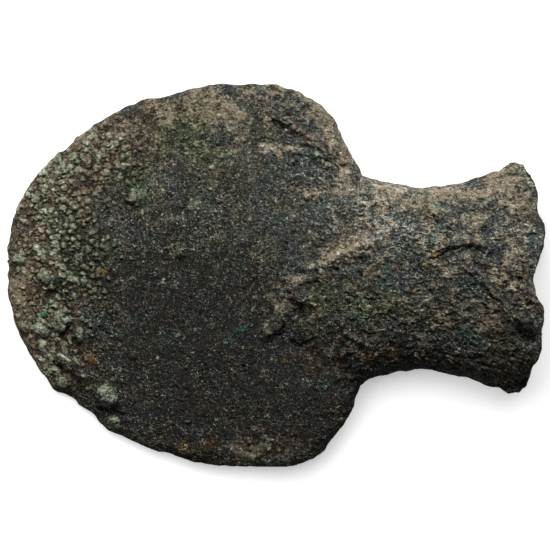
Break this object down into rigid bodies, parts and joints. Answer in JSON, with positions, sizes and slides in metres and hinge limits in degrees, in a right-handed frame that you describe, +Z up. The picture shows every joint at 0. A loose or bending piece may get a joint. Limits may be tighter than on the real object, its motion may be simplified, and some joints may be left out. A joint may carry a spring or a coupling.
{
  "type": "bronze axe head",
  "caption": "Ancient socketed bronze axe head: broad oval blade, waisted neck and hollow tapering haft socket with a ragged mouth, heavily corroded",
  "frame": {"origin": "on the surface the axe head lies on, under the middle of its box", "axes": "+X from the cutting edge to the socket mouth, the longest way; +Y across the blade; +Z up out of the upper face"},
  "size_m": [0.1078, 0.0768, 0.0229],
  "materials": {
    "corroded_bronze": "cast bronze, buried and corroded: matt charcoal patina, tan earth crust, pale green verdigris nodules"
  },
  "bodies": {
    "root": {"axe_head": "corroded_bronze"}
  },
  "joints": []
}
